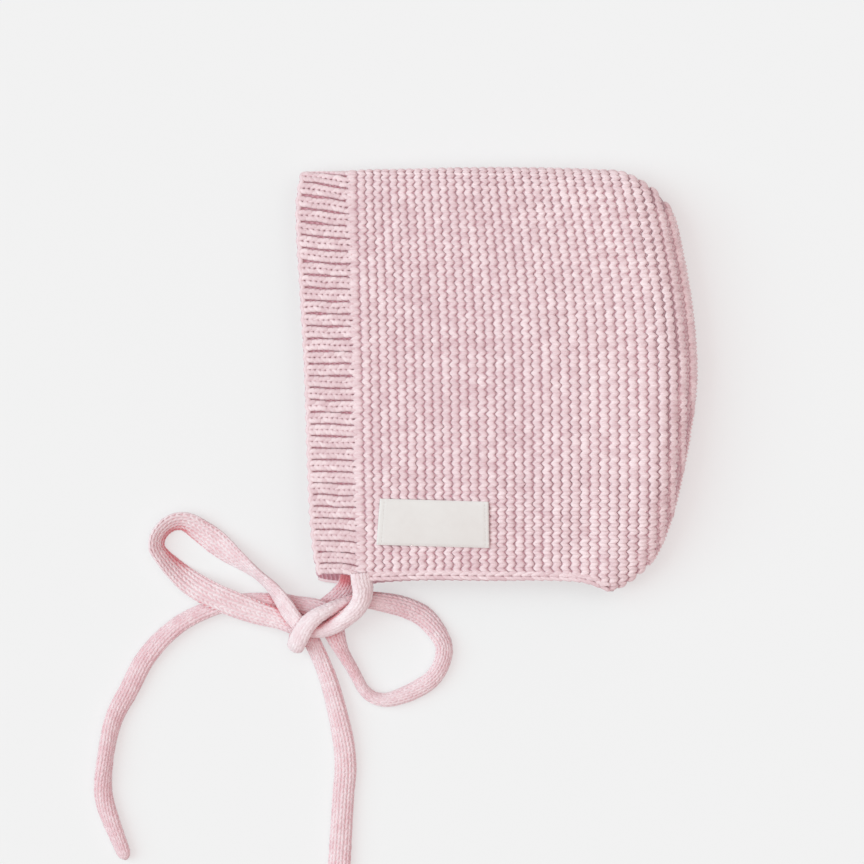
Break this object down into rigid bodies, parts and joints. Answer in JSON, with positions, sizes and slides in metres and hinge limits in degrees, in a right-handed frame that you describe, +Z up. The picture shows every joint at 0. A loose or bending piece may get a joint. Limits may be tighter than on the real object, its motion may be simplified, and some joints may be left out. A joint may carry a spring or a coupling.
{
  "type": "knitted baby bonnet",
  "caption": "Knitted baby bonnet lying on its side: hollow garter-stitch crown, ribbed face band, sewn side label and two knitted ties in a bow; it covers a baby's head.",
  "frame": {"origin": "on the surface the bonnet lies on, under the middle of its outline without the ties", "axes": "+X from the face edge to the back of the head, +Y from the neck edge to the crown fold, +Z up from the surface"},
  "size_m": [0.2268, 0.2701, 0.0228],
  "materials": {
    "garter_wool": "soft pink wool in garter stitch",
    "rib_wool": "soft pink wool in single rib",
    "label_cloth": "cream woven label cloth, bare",
    "tie_wool": "soft pink wool knitted as a narrow tube"
  },
  "bodies": {
    "root": {"crown": "garter_wool", "face_band": "rib_wool", "side_label": "label_cloth", "tie_near": "tie_wool", "tie_far": "tie_wool"}
  },
  "joints": []
}
